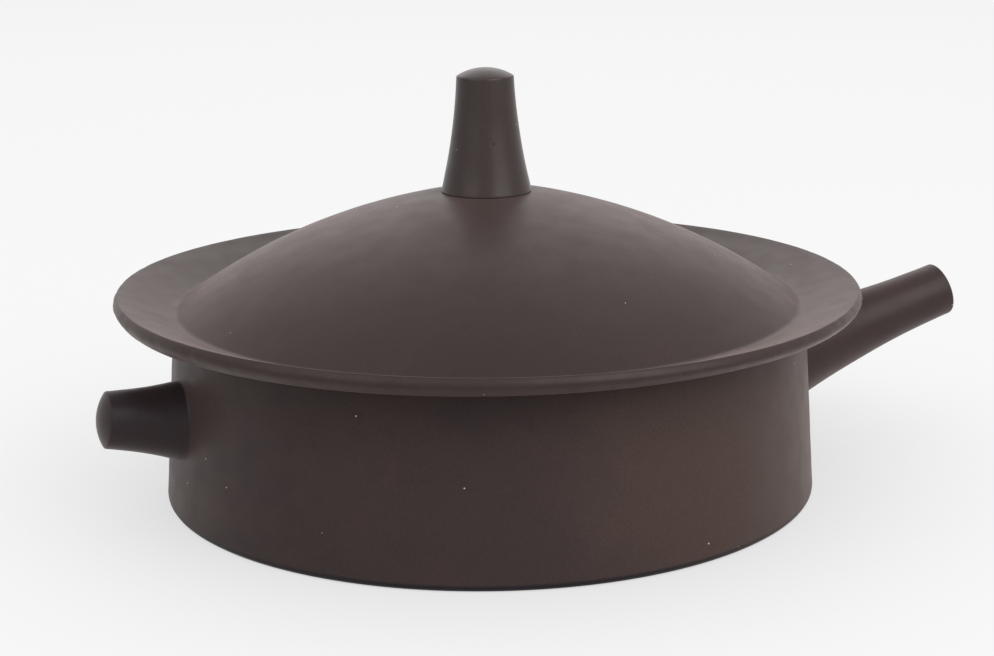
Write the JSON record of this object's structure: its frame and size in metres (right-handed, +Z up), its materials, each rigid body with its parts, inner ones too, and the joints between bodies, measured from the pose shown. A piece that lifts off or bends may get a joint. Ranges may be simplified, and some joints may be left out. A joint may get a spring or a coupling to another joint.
{
  "type": "herbal medicine pot",
  "caption": "Low wide unglazed clay pot with a flared pouring spout, a stub handle opposite, and a loose hat-like lid with an upturned brim and a tall tapered knob.",
  "frame": {"origin": "centre of the flat foot, on the surface the pot stands on", "axes": "+Z up along the pot's axis, +X towards the spout, with the stub handle at -X"},
  "size_m": [0.2743, 0.2178, 0.1234],
  "materials": {
    "pot_clay": "unglazed, matte",
    "spout_clay": "unglazed, matte",
    "handle_clay": "unglazed, matte",
    "lid_clay": "unglazed, matte",
    "knob_clay": "unglazed, matte"
  },
  "bodies": {
    "pot": {"pot_floor": "pot_clay", "pot_wall": "pot_clay", "spout": "spout_clay", "handle_stem": "handle_clay", "handle_cap": "handle_clay"},
    "locating_ring": {"lid_ring": "lid_clay"},
    "lid": {"lid_dome": "lid_clay", "lid_brim": "lid_clay", "knob_stem": "knob_clay", "knob_cap": "knob_clay"}
  },
  "joints": [
    {"name": "lid_lift", "type": "slide", "parent": "pot", "child": "locating_ring", "axis": [0, 0, 1], "range_m": [0, 0.09]},
    {"name": "lid_turn", "type": "hinge", "parent": "locating_ring", "child": "lid", "pos_m": [0, 0, 0.052], "axis": [0, 0, 1], "continuous": true}
  ]
}
